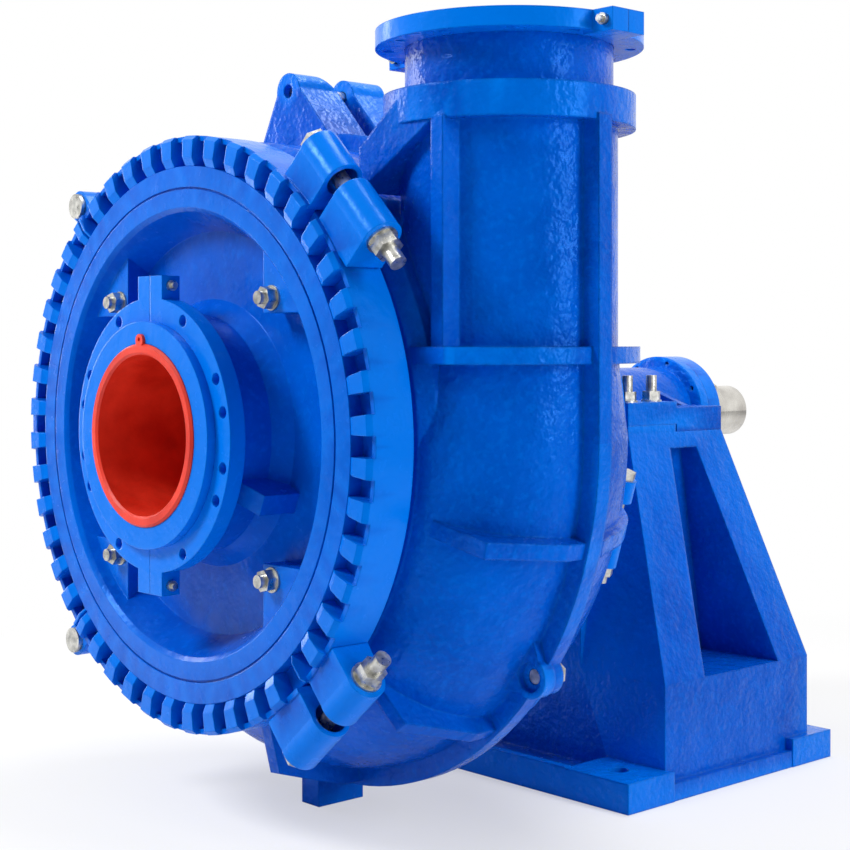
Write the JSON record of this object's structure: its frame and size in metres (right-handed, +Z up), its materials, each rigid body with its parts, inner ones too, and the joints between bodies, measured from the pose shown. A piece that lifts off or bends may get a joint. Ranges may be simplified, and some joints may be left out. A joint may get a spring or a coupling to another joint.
{
  "type": "slurry pump",
  "caption": "Single-stage horizontal gravel pump: ribbed volute in a toothed clamp ring, side discharge nozzle upward, split flanges, bearing cartridge on a twin-tower pedestal.",
  "frame": {"origin": "centre of the four foundation bolts, on the underside of the base", "axes": "+Z up, +Y along the shaft towards the drive end, +X towards the discharge branch"},
  "size_m": [1.429, 1.769, 1.499],
  "materials": {
    "casting_enamel": "thick glossy blue enamel over a sand casting",
    "smooth_enamel": "glossy blue enamel over turned and trimmed castings",
    "throat_enamel": "satin orange-red paint",
    "zinc": "zinc plated, slightly dull",
    "white_iron": "bare hard iron casting",
    "machined_steel": "turned and ground steel",
    "bearing_steel": "polished bearing steel",
    "packing": "greased braided packing",
    "lantern_brass": "turned",
    "flinger_rubber": "matte"
  },
  "bodies": {
    "root": {"adjusting_locknut": "zinc", "back_liner": "white_iron", "base_frame": "casting_enamel", "clamp_bolts": "zinc", "clamp_hinge_pins": "zinc", "clamp_nuts": "zinc", "clamp_segment_bottom": "smooth_enamel", "clamp_segment_left": "smooth_enamel", "clamp_segment_right": "smooth_enamel", "clamp_segment_top": "smooth_enamel", "cover_nuts": "zinc", "cover_studs": "zinc", "discharge_flange_bolts": "zinc", "discharge_flange_far": "smooth_enamel", "discharge_flange_near": "smooth_enamel", "ear_nuts": "zinc", "ear_studs": "zinc", "frame_bolts": "zinc", "frame_plate": "casting_enamel", "front_cover": "smooth_enamel", "gland_bolts": "zinc", "gland_left": "smooth_enamel", "gland_right": "smooth_enamel", "lantern_ring": "lantern_brass", "packing_rings": "packing", "rear_clamp_bolts": "zinc", "rear_clamp_lower": "smooth_enamel", "rear_clamp_upper": "smooth_enamel", "stuffing_box": "smooth_enamel", "suction_flange_bolts": "zinc", "suction_flange_left": "smooth_enamel", "suction_flange_right": "smooth_enamel", "throat_liner": "throat_enamel", "tie_nuts": "zinc", "tie_studs": "zinc", "volute_casing": "casting_enamel"},
    "cartridge": {"bearing_housing": "casting_enamel", "bearing_outer_rings": "bearing_steel", "front_bearing_cover": "smooth_enamel", "rear_bearing_cover": "smooth_enamel", "bearing_cover_screws": "zinc"},
    "rotor": {"impeller": "white_iron", "shaft": "machined_steel", "shaft_sleeve": "machined_steel", "flinger": "flinger_rubber", "lock_collar": "machined_steel", "lock_collar_screws": "zinc", "bearing_inner_rings": "bearing_steel", "bearing_rollers": "bearing_steel"},
    "adjusting_screw": {"adjusting_screw": "zinc"}
  },
  "joints": [
    {"name": "cartridge_slide", "type": "slide", "parent": "root", "child": "cartridge", "axis": [0, 1, 0], "range_m": [-0.004, 0.004]},
    {"name": "rotor_spin", "type": "hinge", "parent": "cartridge", "child": "rotor", "pos_m": [0, 0, 0.76], "axis": [0, 1, 0], "continuous": true},
    {"name": "adjusting_screw_turn", "type": "hinge", "parent": "cartridge", "child": "adjusting_screw", "pos_m": [0.19, 0.218, 0.694], "axis": [0, 1, 0], "range_deg": [-600, 600]}
  ],
  "couplings": [
    {"joint": "adjusting_screw_turn", "follows": "cartridge_slide", "rad_per_m": 2513.3}
  ]
}
